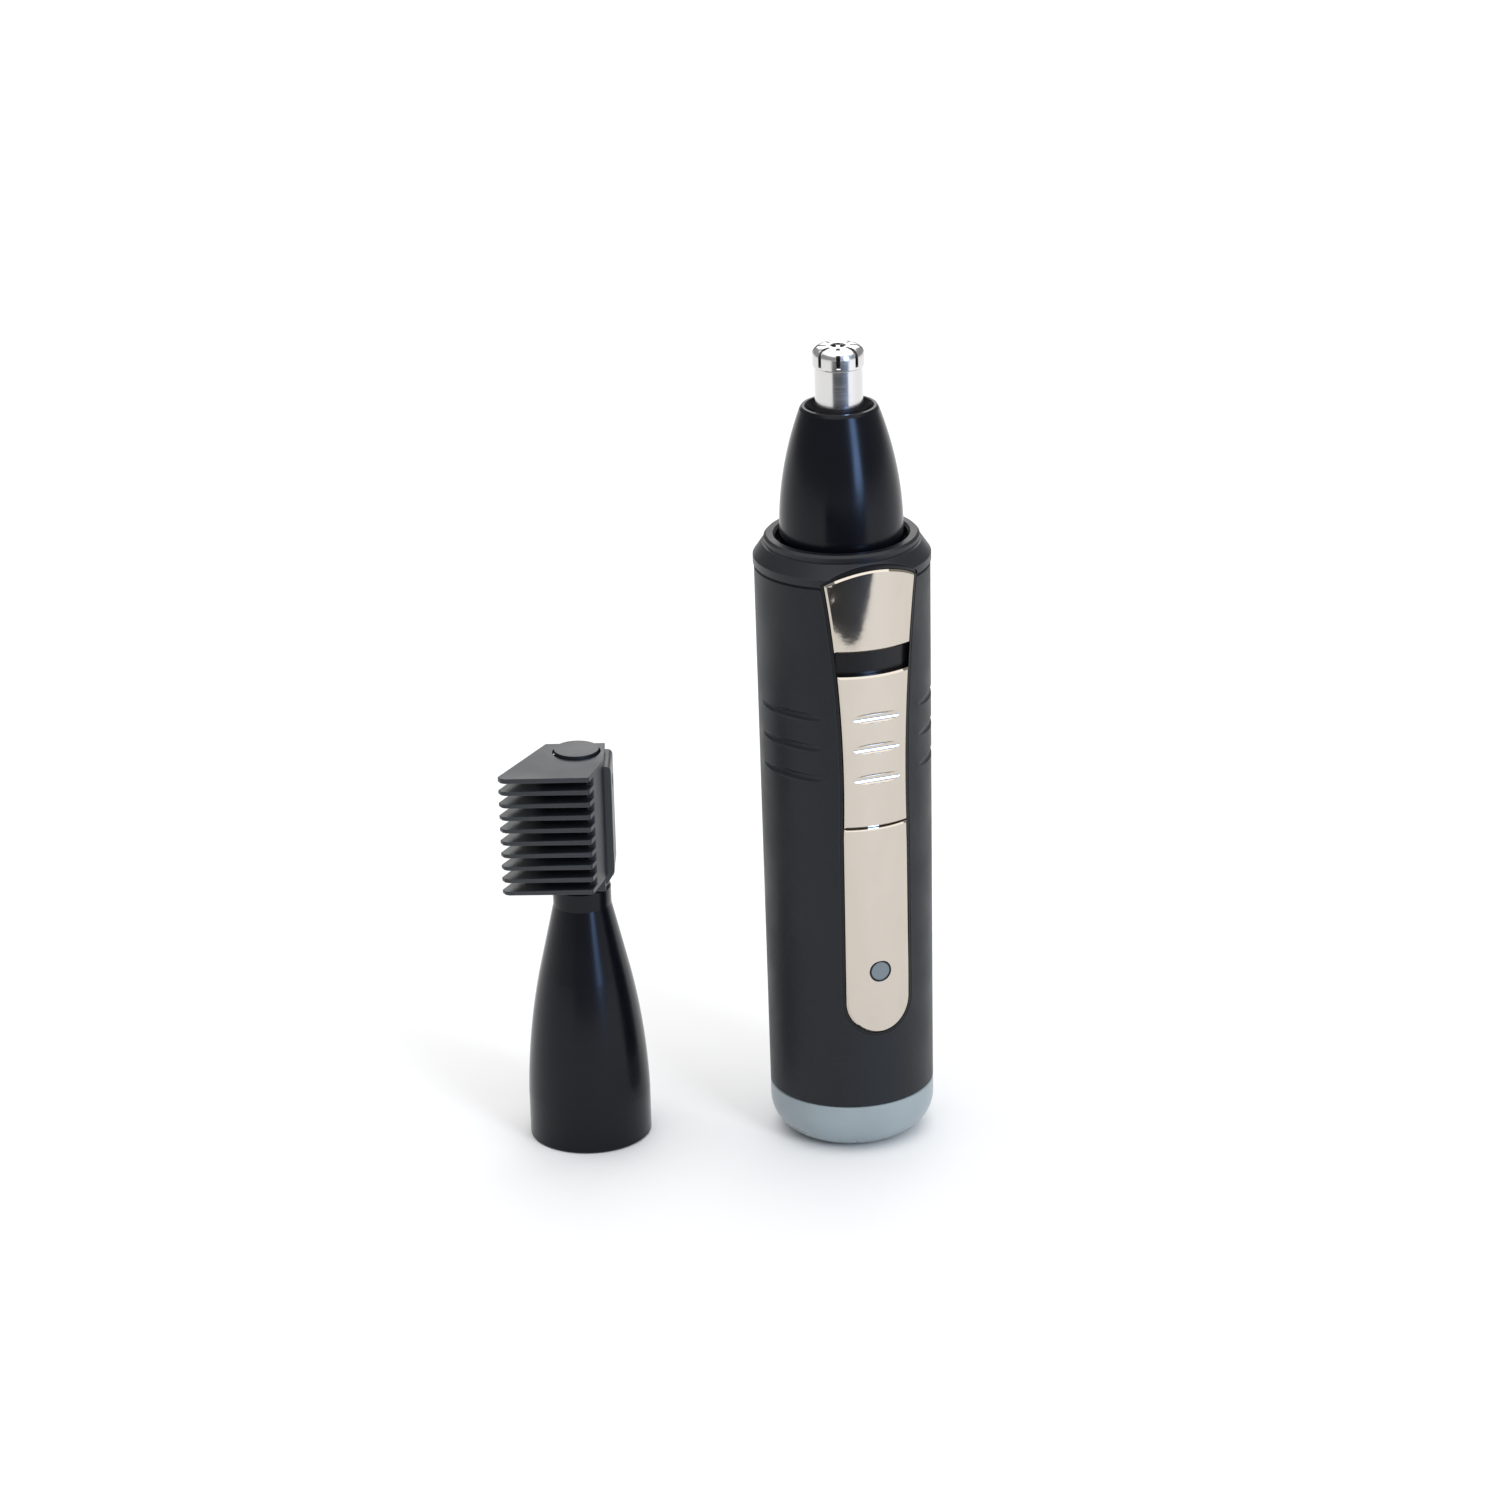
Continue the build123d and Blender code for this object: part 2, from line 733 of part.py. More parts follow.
def motor_screw(x):
    """One of the two screws that hold the motor under the chassis's top bulkhead."""
    with BuildPart() as screw:
        with BuildSketch(Plane.XY.offset(motor_high - 0.9)):
            with Locations((x, 0)):
                Circle(0.75)
        extrude(amount=chassis_high - motor_high + 0.9 + 0.02)
        with BuildSketch(Plane.XY.offset(chassis_high + 0.02)):
            with Locations((x, 0)):
                Circle(1.5)
        extrude(amount=0.9)
        with BuildSketch(Plane.XY.offset(chassis_high + 0.5)):
            with Locations((x, 0)):
                Rectangle(2.0, 0.4)
                Rectangle(0.4, 2.0)
        extrude(amount=0.5, mode=Mode.SUBTRACT)
    return screw.part


save(Compound(children=[motor_screw(-6), motor_screw(6)]), "motor_screws")

# ---------------------------------------------------------------- motor, turning pieces
save(disc(Plane.XY, motor_low - motor_cap, shaft_high, shaft_r), "motor_shaft")

with BuildPart() as motor_armature:
    with BuildSketch(Plane.XY.offset(rotor_low)):
        Circle(rotor_r)
        with PolarLocations(rotor_r - 1.6, 3):
            Rectangle(6, 1.2, mode=Mode.SUBTRACT)
        with PolarLocations(rotor_r - 3.2, 3):
            Circle(1.5, mode=Mode.SUBTRACT)
        Circle(shaft_r + 0.01, mode=Mode.SUBTRACT)
    extrude(amount=rotor_high - rotor_low)
save(motor_armature.part, "motor_armature")

winding_ends = [
    disc(Plane.XY, low, low + 1.8, rotor_r - 1.2, shaft_r + 0.6)
    for low in (rotor_low - 1.82, rotor_high + 0.02)
]
save(Compound(children=winding_ends), "motor_windings")
commutator_high = rotor_low - 1.84
save(disc(Plane.XY, motor_low + 0.2, commutator_high, 1.55, shaft_r + 0.01), "motor_commutator")

coupler_low = motor_high + 2.2
tongue_low = recess_floor_z + boss_height
with BuildPart() as drive_coupler:
    with BuildSketch(Plane.XY.offset(coupler_low)):
        Circle(boss_hole_r - 0.7)
        Circle(shaft_r + 0.01, mode=Mode.SUBTRACT)
    extrude(amount=shaft_high - coupler_low)
    with BuildSketch(Plane.XY.offset(shaft_high)):
        Circle(boss_hole_r - 0.7)
    extrude(amount=tongue_low - shaft_high)
    with BuildSketch(Plane.XY.offset(tongue_low)):
        RectangleRounded(tongue_wide, tongue_thick, 0.4)
    extrude(amount=tongue_long)
save(drive_coupler.part, "drive_coupler")


# ================================================================ what both heads have at their base
def base_ring(seat):
    """The ring pressed into a head's base, which centres the spindle's cup."""
    return disc(seat, socket_depth + 0.2, socket_depth + 0.2 + ring_height, inner_r - snug, ring_hole_r)


def spindle(seat, flange_r, shank_r, top):
    """The plastic spindle with the slotted cup that the drive coupler turns."""
    with BuildPart() as body:
        add(disc(seat, cup_low, cup_high, cup_r))
        add(disc(seat, cup_high, cup_high + 0.8, flange_r))
        add(disc(seat, cup_high + 0.8, top, shank_r))
        with BuildSketch(seat.offset(cup_low)):
            Rectangle(4 * cup_r, cup_slot)
        extrude(amount=tongue_long + 0.3, mode=Mode.SUBTRACT)
    return body.part


# ================================================================ nose head
tube_shoulder = tube_flange_z + 0.1
rim_hole_r = cutter_head_r + snug
with BuildPart() as nose_head_shell:
    with BuildSketch(upright(nose_seat)):
        with BuildLine():
            side_low, side_top = (head_r, 3.5), (nose_top_r, nose_height - 0.5)
            ThreePointArc(side_low, (9.08, 14.0), side_top)
            Polyline(
                side_top,
                (nose_top_r - 0.35, nose_height),
                (rim_hole_r + rim_bevel - 0.65, nose_height),
                (rim_hole_r, nose_height - rim_bevel),
                (rim_hole_r, tube_shoulder),
                (tube_flange_r + 0.1, tube_shoulder),
                (inner_r, 7.5),
                (inner_r, socket_depth),
                (socket_r, socket_depth),
                (socket_r, 0),
                (head_r - 0.3, 0),
                (head_r, 0.3),
                side_low,
            )
        make_face()
    revolve(axis=Axis(nose_seat.origin, nose_seat.z_dir))
    fillet(nose_head_shell.edges().filter_by(GeomType.CIRCLE).group_by(Axis.Z)[-1], 0.18)
save(nose_head_shell.part, "nose_head_shell")

with BuildPart() as nose_cutter_tube:
    with BuildSketch(upright(nose_seat)):
        with BuildLine():
            bore = tube_r - tube_wall
            head_low = tube_top - cutter_head_long
            crown = cutter_head_r - tube_dome_r
            bend = tube_dome_r - tube_wall - (cutter_head_r - tube_r)
            under = tube_top - tube_wall
            Polyline(
                (bore, tube_flange_z - 0.7),
                (tube_flange_r, tube_flange_z - 0.7),
                (tube_flange_r, tube_flange_z),
                (tube_r, tube_flange_z),
                (tube_r, head_low - 0.3),
                (cutter_head_r, head_low),
                (cutter_head_r, tube_top - tube_dome_r),
            )
            RadiusArc((cutter_head_r, tube_top - tube_dome_r), (crown, tube_top), -tube_dome_r)
            Polyline((crown, tube_top), (tube_hole_r, tube_top), (tube_hole_r, under), (crown, under))
            RadiusArc((crown, under), (bore, under - bend), bend)
            Line((bore, under - bend), (bore, tube_flange_z - 0.7))
        make_face()
    revolve(axis=Axis(nose_seat.origin, nose_seat.z_dir))
    slot_from = tube_hole_r + 0.6
    slot_half_long = (cutter_head_r + 1 - slot_from) / 2
    with BuildSketch(nose_seat.offset(tube_top + 1)):
        with PolarLocations(slot_from + slot_half_long, tube_slots, start_angle=stand_turn - 90):
            Rectangle(2 * slot_half_long, tube_slot_wide)
    extrude(amount=-tube_slot_long - 1, mode=Mode.SUBTRACT)
save(nose_cutter_tube.part, "nose_cutter_tube")

save(base_ring(nose_seat), "nose_base_ring")

nose_shank_top = 23.5
slit_low = 20.8
with BuildPart() as nose_spindle:
    add(spindle(nose_seat, 4.7, 1.8, nose_shank_top))
    with BuildSketch(nose_seat.offset(slit_low)):
        Rectangle(8, blade_thick + 0.04)
    extrude(amount=nose_shank_top, mode=Mode.SUBTRACT)
save(nose_spindle.part, "nose_spindle")

blade_half = tube_r - tube_wall - 0.25
nose_blade_top = tube_top - tube_wall - 0.25
blade_shoulder = nose_blade_top - tube_dome_r
with BuildPart() as nose_blade:
    with BuildSketch(upright(nose_seat)):
        with BuildLine():
            slot_low_z = nose_blade_top - 7.0
            Polyline(
                (-blade_half, slit_low + 0.02),
                (blade_half, slit_low + 0.02),
                (blade_half, blade_shoulder),
                (blade_half - tube_dome_r + 0.2, nose_blade_top),
                (1.4, nose_blade_top),
                (1.4, slot_low_z),
            )
            ThreePointArc((1.4, slot_low_z), (0, slot_low_z - 1.4), (-1.4, slot_low_z))
            Polyline(
                (-1.4, slot_low_z),
                (-1.4, nose_blade_top),
                (-blade_half + tube_dome_r - 0.2, nose_blade_top),
                (-blade_half, blade_shoulder),
                (-blade_half, slit_low + 0.02),
            )
        make_face()
    extrude(amount=blade_thick / 2, both=True)
save(nose_blade.part, "nose_blade")

nose_spring = spring(nose_seat, socket_depth + 0.2 + ring_height + 0.02, cup_high - 0.02, 3.9, 0.2, 1.3)
save(nose_spring, "nose_spring")

# ================================================================ sideburn head
blade_gap = 0.05
post_flat_y = 4.0  # the blades lie on the post's front flat, this far in front of the axis
mover_front = post_flat_y + blade_gap + blade_thick
fixed_front = mover_front + blade_gap + blade_thick
post_box_half = 4.1
post_low = neck_top + snug
cavity_r = cam_r + 0.25
cavity_low = cam_low - 0.5
cavity_high = cam_high + 0.5
cam_mid = (cam_low + cam_high) / 2
side_front = Plane(origin=stand_seat.origin, x_dir=stand_seat.x_dir, z_dir=-stand_seat.y_dir)
side_rear = Plane(origin=stand_seat.origin, x_dir=stand_seat.y_dir, z_dir=stand_seat.x_dir)

with BuildPart() as side_head_shell:
    with BuildSketch(upright(stand_seat)):
        with BuildLine():
            ThreePointArc((side_rim_r, 8.0), (9.42, 19.5), (side_knee_r, side_knee_z))
            Polyline(
                (side_knee_r, side_knee_z),
                (neck_r, neck_z),
                (neck_r, neck_top - 0.4),
                (neck_top_r, neck_top),
                (neck_bore_r, neck_top),
                (neck_bore_r, neck_z - 5),
                (side_knee_r - 1.9, side_knee_z - 1.5),
                (inner_r, 17.0),
                (inner_r, socket_depth),
                (socket_r, socket_depth),
                (socket_r, 0),
                (side_rim_r - 0.3, 0),
                (side_rim_r, 0.3),
                (side_rim_r, 8.0),
            )
        make_face()
    revolve(axis=Axis(stand_seat.origin, stand_seat.z_dir))
save(side_head_shell.part, "side_head_shell")

save(base_ring(stand_seat), "side_base_ring")
save(spindle(stand_seat, 4.7, spindle_r, cam_high - 0.5), "side_spindle")

with BuildPart() as side_cam:
    add(disc(stand_seat, cam_low, cam_high, cam_r))
    with BuildSketch(stand_seat.offset(cam_mid).rotated((cam_tilt, 0, 0))):
        Circle(2 * cam_r)
    extrude(amount=cam_gap / 2, both=True, mode=Mode.SUBTRACT)
    add(disc(stand_seat, cam_low, cam_high, cam_core_r))
    with BuildSketch(stand_seat):
        Circle(spindle_r + 0.01)
    extrude(amount=cam_high + 1, mode=Mode.SUBTRACT)
save(side_cam.part, "side_cam")

blade_screw_z = (61.5, 66.2)
cover_screw_z = (post_low + 2.3, 64.0)
follower_r = 0.5
follower_slot_half = 0.7
with BuildPart() as blade_post:
    with BuildSketch(stand_seat.offset(post_low)):
        Circle(post_r)
        with Locations((post_r / 2 - 1.3, 0)):
            Rectangle(post_r + 2.6, 2 * post_box_half)
        with Locations((0, -post_flat_y - post_r)):
            Rectangle(4 * post_r, 2 * post_r, mode=Mode.SUBTRACT)
    extrude(amount=post_top - post_low)
    add(disc(stand_seat, post_low, post_low + 1.2, neck_top_r))
    add(disc(stand_seat, neck_z - 4, post_low, neck_bore_r - snug))
    with BuildSketch(stand_seat.offset(neck_z - 4)):
        Circle(spindle_r + 0.1)
    extrude(amount=cavity_high - neck_z + 4, mode=Mode.SUBTRACT)
    with BuildSketch(stand_seat.offset(cavity_low)):
        Circle(cavity_r)
        with Locations((post_r / 2 + 0.1, 0)):
            Rectangle(post_r + 0.2, 2 * cavity_r)
    extrude(amount=cavity_high - cavity_low, mode=Mode.SUBTRACT)
    with BuildSketch(side_front):
        with Locations((0, cam_mid)):
            SlotOverall(2 * (follower_slot_half + stroke + 0.2), 2 * follower_slot_half, rotation=90)
    extrude(amount=post_r + 1, mode=Mode.SUBTRACT)
    with BuildSketch(side_front.offset(post_flat_y - 2.2)):
        with Locations(*[(0, z) for z in blade_screw_z]):
            Circle(screw_shank_r + 0.02)
    extrude(amount=post_r, mode=Mode.SUBTRACT)
    with BuildSketch(side_rear.offset(post_r - 2.0)):
        with Locations(*[(0, z) for z in cover_screw_z]):
            Circle(screw_shank_r + 0.02)
    extrude(amount=post_r, mode=Mode.SUBTRACT)
    add(disc(stand_seat, post_top, comb_high + button_rise, button_r))
save(blade_post.part, "blade_post")

cover_low = post_low + 1.4
cover_high = post_top - 0.1
with BuildPart() as rear_cover:
    with BuildSketch(side_front.offset(-post_box_half)):
        with BuildLine():
            Polyline(
                (post_r + snug, cover_low),
                (post_r + 0.4, cover_low),
                (post_back, cover_low + 2.0),
                (post_back, cover_high - 0.9),
            )
            RadiusArc((post_back, cover_high - 0.9), (post_back - 0.9, cover_high), -0.9)
            Polyline(
                (post_back - 0.9, cover_high),
                (post_r + snug, cover_high),
                (post_r + snug, cover_low),
            )
        make_face()
    extrude(amount=2 * post_box_half)
    with BuildSketch(side_rear.offset(post_r)):
        with Locations(*[(0, z) for z in cover_screw_z]):
            Circle(screw_shank_r + 0.02)
    extrude(amount=post_back, mode=Mode.SUBTRACT)
    with BuildSketch(side_rear.offset(post_r + 0.7)):
        with Locations(*[(0, z) for z in cover_screw_z]):
            Circle(1.2)
    extrude(amount=post_back, mode=Mode.SUBTRACT)
save(rear_cover.part, "rear_cover")


def small_screw(plane, z, seat_at, depth):
    """A small pan-head screw on a plane's axis, with its head on top of seat_at and its shank below."""
    with BuildPart() as screw:
        with BuildSketch(plane.offset(seat_at - depth)):
            with Locations((0, z)):
                Circle(screw_shank_r)
        extrude(amount=depth + 0.02)
        with BuildSketch(plane.offset(seat_at + 0.02)):
            with Locations((0, z)):
                Circle(1.05)
        extrude(amount=0.55)
        with BuildSketch(plane.offset(seat_at + 0.32)):
            with Locations((0, z)):
                Rectangle(1.4, 0.3)
                Rectangle(0.3, 1.4)
        extrude(amount=0.4, mode=Mode.SUBTRACT)
    return screw.part


blade_screws = [small_screw(side_front, z, fixed_front, 3.0) for z in blade_screw_z]
save(Compound(children=blade_screws), "blade_screws")
cover_screws = [small_screw(side_rear, z, post_r + 0.7, 2.4) for z in cover_screw_z]
save(Compound(children=cover_screws), "cover_screws")


def toothed_plate(front_y, low, high, count, tip_x, back_x):
    """A thin cutter plate whose teeth point to the side, with its front face at front_y."""
    with BuildPart() as plate:
        with BuildSketch(side_front.offset(front_y - blade_thick)):
            with Locations(((back_x + blade_root_x) / 2, (low + high) / 2)):
                Rectangle(back_x - blade_root_x, high - low)
            for index in range(count):
                z = (low + high) / 2 + (index - (count - 1) / 2) * tooth_pitch
                with BuildLine():
                    Polyline(
                        (blade_root_x + 0.1, z - 0.42),
                        (blade_root_x + 0.1, z + 0.42),
                        (tip_x + 0.3, z + 0.22),
                        (tip_x, z),
                        (tip_x + 0.3, z - 0.22),
                        close=True,
                    )
                make_face()
        extrude(amount=blade_thick)
    return plate.part


with BuildPart() as fixed_blade:
    add(toothed_plate(fixed_front, blade_low, blade_high, tooth_count, blade_tip_x, 3.4))
    with BuildSketch(side_front):
        with Locations(*[(0, z) for z in blade_screw_z]):
            Circle(screw_shank_r + 0.02)
    extrude(amount=2 * post_r, mode=Mode.SUBTRACT)
save(fixed_blade.part, "fixed_blade")

mover_low = blade_low + stroke + 0.2
mover_high = blade_high - stroke - 0.2
with BuildPart() as moving_blade:
    add(toothed_plate(mover_front, mover_low, mover_high, tooth_count - 1, blade_tip_x + 0.3, 3.0))
    with BuildSketch(side_front):
        with Locations(*[(0, z) for z in blade_screw_z]):
            SlotOverall(2 * (screw_shank_r + stroke + 0.2), 2 * screw_shank_r + 0.2, rotation=90)
    extrude(amount=2 * post_r, mode=Mode.SUBTRACT)
save(moving_blade.part, "moving_blade")

with BuildPart() as blade_follower:
    with BuildSketch(side_front.offset(cam_core_r + 0.25)):
        with Locations((0, cam_mid)):
            Circle(follower_r)
    extrude(amount=mover_front - blade_thick - 0.01 - cam_core_r - 0.25)
save(blade_follower.part, "blade_follower")

# ---------------------------------------------------------------- guide comb
comb_front = -fixed_front - 7.0
comb_inner_y = -fixed_front - 0.55 - comb_gap
comb_rail_y = -post_box_half - comb_gap
comb_arm_x = -post_r - comb_gap
comb_rail_x = 3.4 + comb_gap
blade_slot_x = blade_tip_x - comb_gap
comb_height = comb_high - comb_low
comb_pitch = (comb_height - comb_tooth) / (comb_teeth - 1)
with BuildPart() as guide_comb:
    # the whole block in plan: pointed at its tooth tips, square at the sides of the post
    with BuildSketch(stand_seat.offset(comb_low)):
        with BuildLine():
            Polyline(
                (comb_tip_x, comb_front + 1.2),
                (comb_tip_x + 0.5, comb_front + 0.3),
                (comb_tip_x + 1.2, comb_front),
                (comb_side_x - 0.3, comb_front),
                (comb_side_x, comb_front + 0.3),
                (comb_root_x, comb_rail_y),
                (comb_root_x, comb_back_y),
                (comb_back_x, comb_back_y),
                close=True,
            )
        make_face()
    extrude(amount=comb_height)
    # the gaps between the teeth leave a spine on the right and a rail behind the blades
    for index in range(comb_teeth - 1):
        with BuildSketch(stand_seat.offset(comb_low + comb_tooth + index * comb_pitch)):
            with BuildLine():
                Polyline(
                    (comb_tip_x - 1, comb_front - 1),
                    (comb_root_x + 1, comb_front - 1),
                    (comb_root_x + 1, comb_front + comb_spine_set),
                    (comb_side_x - 0.7, comb_front + comb_spine_set),
                    (comb_rail_x - 0.4, comb_inner_y - comb_wall),
                    (comb_arm_x - 1.2, comb_inner_y - comb_wall),
                    (comb_arm_x - comb_wall, comb_back_y + 1),
                    (comb_tip_x - 1, comb_back_y + 1),
                    close=True,
                )
            make_face()
        extrude(amount=comb_pitch - comb_tooth, mode=Mode.SUBTRACT)
    # the socket that fits over the post and the blades, closed by the top plate
    with BuildSketch(stand_seat.offset(comb_low - 1)):
        with Locations(((comb_arm_x + comb_rail_x) / 2, comb_inner_y + 10)):
            Rectangle(comb_rail_x - comb_arm_x, 20)
        with Locations((comb_arm_x + 10, comb_rail_y + 10)):
            Rectangle(20, 20)
        slot_back = -post_flat_y + comb_gap
        slot_front = -fixed_front - comb_gap
        with Locations(((blade_slot_x + comb_arm_x) / 2, (slot_back + slot_front) / 2)):
            Rectangle(comb_arm_x - blade_slot_x + 1, slot_back - slot_front)
    extrude(amount=comb_height + 1 - comb_tooth, mode=Mode.SUBTRACT)
    with BuildSketch(stand_seat.offset(comb_low)):
        Circle(button_r + comb_gap)
    extrude(amount=comb_height + 1, mode=Mode.SUBTRACT)
save(guide_comb.part, "guide_comb")
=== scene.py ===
"""Looks for the nose hair trimmer: materials, finer visible shells, studio light and the camera.

Metres, in the CAD's own frame: the handle's axis is Z, its control panel faces -Y, and the sideburn head
stands beside it. The CAD nodes keep their shape, and each gets a procedural material.
"""

import json
import math

import bmesh
import bpy
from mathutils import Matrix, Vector


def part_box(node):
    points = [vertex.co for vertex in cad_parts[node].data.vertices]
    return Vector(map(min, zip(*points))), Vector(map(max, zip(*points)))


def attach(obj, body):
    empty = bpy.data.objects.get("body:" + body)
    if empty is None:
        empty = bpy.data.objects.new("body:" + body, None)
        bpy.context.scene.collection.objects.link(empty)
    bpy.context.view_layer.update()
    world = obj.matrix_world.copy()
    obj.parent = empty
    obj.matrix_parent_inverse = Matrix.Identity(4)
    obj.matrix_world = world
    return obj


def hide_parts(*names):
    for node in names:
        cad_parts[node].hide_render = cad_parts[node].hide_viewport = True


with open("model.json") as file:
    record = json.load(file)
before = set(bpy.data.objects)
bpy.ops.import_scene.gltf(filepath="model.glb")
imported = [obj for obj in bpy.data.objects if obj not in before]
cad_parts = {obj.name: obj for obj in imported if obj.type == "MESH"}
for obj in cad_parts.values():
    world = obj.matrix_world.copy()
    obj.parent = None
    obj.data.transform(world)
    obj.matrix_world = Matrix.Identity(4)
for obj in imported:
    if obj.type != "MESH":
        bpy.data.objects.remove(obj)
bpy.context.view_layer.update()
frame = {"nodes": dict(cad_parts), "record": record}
MM = 0.001
COLOR_A, COLOR_B, COLOR_RESULT = 6, 7, 2  # a Mix node's colour sockets, by place: others share their names


# ---------------------------------------------------------------- material building blocks
class Shader:
    """A node material with its Principled shader, and short calls for the nodes it is built from."""

    def __init__(self, name, color, roughness, metallic=0.0, **sockets):
        self.material = bpy.data.materials.new(name)
        self.material.use_nodes = True
        self.tree = self.material.node_tree
        self.bsdf = self.tree.nodes["Principled BSDF"]
        self.bsdf.inputs["Base Color"].default_value = (*color, 1.0)
        self.bsdf.inputs["Roughness"].default_value = roughness
        self.bsdf.inputs["Metallic"].default_value = metallic
        for socket, value in sockets.items():
            self.bsdf.inputs[socket.replace("_", " ")].default_value = value
        self.place = self.node("ShaderNodeTexCoord").outputs["Object"]
        self.normal = None

    def node(self, kind, **settings):
        made = self.tree.nodes.new(kind)
        for key, value in settings.items():
            setattr(made, key, value)
        return made

    def link(self, output, socket):
        self.tree.links.new(output, socket)

    def stretched(self, scale):
        """Object coordinates, scaled by one factor for each axis."""
        mapping = self.node("ShaderNodeMapping")
        mapping.inputs["Scale"].default_value = scale
        self.link(self.place, mapping.inputs["Vector"])
        return mapping.outputs["Vector"]

    def noise(self, size, detail=2.0, scale=None):
        """A noise whose features are about size metres across."""
        texture = self.node("ShaderNodeTexNoise")
        texture.inputs["Scale"].default_value = 1.0 / size
        texture.inputs["Detail"].default_value = detail
        self.link(self.stretched(scale) if scale else self.place, texture.inputs["Vector"])
        return texture.outputs["Fac"]

    def spread(self, value, low, high, from_low=0.3, from_high=0.7):
        """A value between from_low and from_high, spread over low to high."""
        spread = self.node("ShaderNodeMapRange")
        self.link(value, spread.inputs["Value"])
        for socket, number in zip(("From Min", "From Max", "To Min", "To Max"),
                                  (from_low, from_high, low, high)):
            spread.inputs[socket].default_value = number
        return spread.outputs["Result"]

    def bump(self, height, depth):
        """Adds a relief of depth metres to the surface."""
        bump = self.node("ShaderNodeBump")
        bump.inputs["Strength"].default_value = 1.0
        bump.inputs["Distance"].default_value = depth
        self.link(height, bump.inputs["Height"])
        if self.normal:
            self.link(self.normal, bump.inputs["Normal"])
        self.normal = bump.outputs["Normal"]
        self.link(self.normal, self.bsdf.inputs["Normal"])

    def edges(self, radius):
        """1 on sharp edges, fading to 0 about radius away from them."""
        open_face, on_edge = 0.995, 0.86
        bevel = self.node("ShaderNodeBevel", samples=4)
        bevel.inputs["Radius"].default_value = radius
        geometry = self.node("ShaderNodeNewGeometry")
        dot = self.node("ShaderNodeVectorMath", operation="DOT_PRODUCT")
        self.link(bevel.outputs["Normal"], dot.inputs[0])
        self.link(geometry.outputs["Normal"], dot.inputs[1])
        return self.spread(dot.outputs["Value"], 0.0, 1.0, from_low=open_face, from_high=on_edge)

    def mix(self, factor, first, second):
        """A colour from first at 0 to second at 1, each a colour or an output."""
        mix = self.node("ShaderNodeMix", data_type="RGBA")
        self.link(factor, mix.inputs["Factor"])
        for value, socket in zip((first, second), mix.inputs[COLOR_A:COLOR_B + 1]):
            if isinstance(value, tuple):
                socket.default_value = (*value, 1.0)
            else:
                self.link(value, socket)
        return mix.outputs[COLOR_RESULT]

    def to(self, socket, output):
        self.link(output, self.bsdf.inputs[socket])


def scaled(color, factor):
    return tuple(min(1.0, channel * factor) for channel in color)


def moulded(name, color, roughness, grain=0.25 * MM, depth=0.02 * MM, edge_highlight_gain=1.6, uneven=0.06, **sockets):
    """Moulded plastic: a fine spark-eroded grain, cloudy roughness and a painted highlight that lightens the
    colour along sharp edges.
    """
    cloud_size, darkest, lightest, edge_width = 9 * MM, 0.93, 1.07, 0.3 * MM
    shader = Shader(name, color, roughness, **sockets)
    cloud = shader.noise(cloud_size, detail=4)
    tone = shader.mix(shader.spread(cloud, 0.0, 1.0), scaled(color, darkest), scaled(color, lightest))
    # painted highlight: the colour is lightened towards sharp edges
    edge_highlight_mask = shader.edges(edge_width)
    shader.to("Base Color", shader.mix(edge_highlight_mask, tone, scaled(color, edge_highlight_gain)))
    shader.to("Roughness", shader.spread(cloud, roughness - uneven, roughness + uneven))
    shader.bump(shader.noise(grain, detail=2), depth)
    return shader.material


def plated(name, color, roughness, haze=0.03):
    """Bright plating on plastic: a mirror with a faint moulding ripple and a few hazy wipe marks."""
    mark_size, mark_run, marked = 3 * MM, (1.0, 1.0, 0.35), 0.96
    swell_size, swell_depth = 14 * MM, 0.02 * MM
    ripple_size, ripple_depth = 1.1 * MM, 0.0016 * MM
    shader = Shader(name, color, roughness, metallic=1.0)
    marks = shader.noise(mark_size, detail=5, scale=mark_run)
    shader.to("Roughness", shader.spread(marks, roughness, roughness + haze, from_low=0.42))
    shader.to("Base Color", shader.mix(shader.spread(marks, 0.0, 1.0), scaled(color, marked), color))
    shader.bump(shader.noise(swell_size, detail=1), swell_depth)
    shader.bump(shader.noise(ripple_size, detail=2), ripple_depth)
    return shader.material


def turned_steel(name, color, roughness):
    """Machined steel: fine lines round the axis, with a painted highlight that brightens the colour at the
    edges.
    """
    pitch, line_depth, edge_width = 0.09 * MM, 0.004 * MM, 0.12 * MM
    across, along = 0.15, 12.0
    smoother, rougher, steel_edge_highlight = 0.75, 1.35, 1.12
    shader = Shader(name, color, roughness, metallic=1.0)
    lines = shader.noise(pitch * along, detail=6, scale=(across, across, along))
    shader.to("Roughness", shader.spread(lines, roughness * smoother, roughness * rougher))
    # painted highlight: the colour is brightened towards sharp edges
    shader.to("Base Color", shader.mix(shader.edges(edge_width), color, scaled(color, steel_edge_highlight)))
    shader.bump(lines, line_depth)
    return shader.material


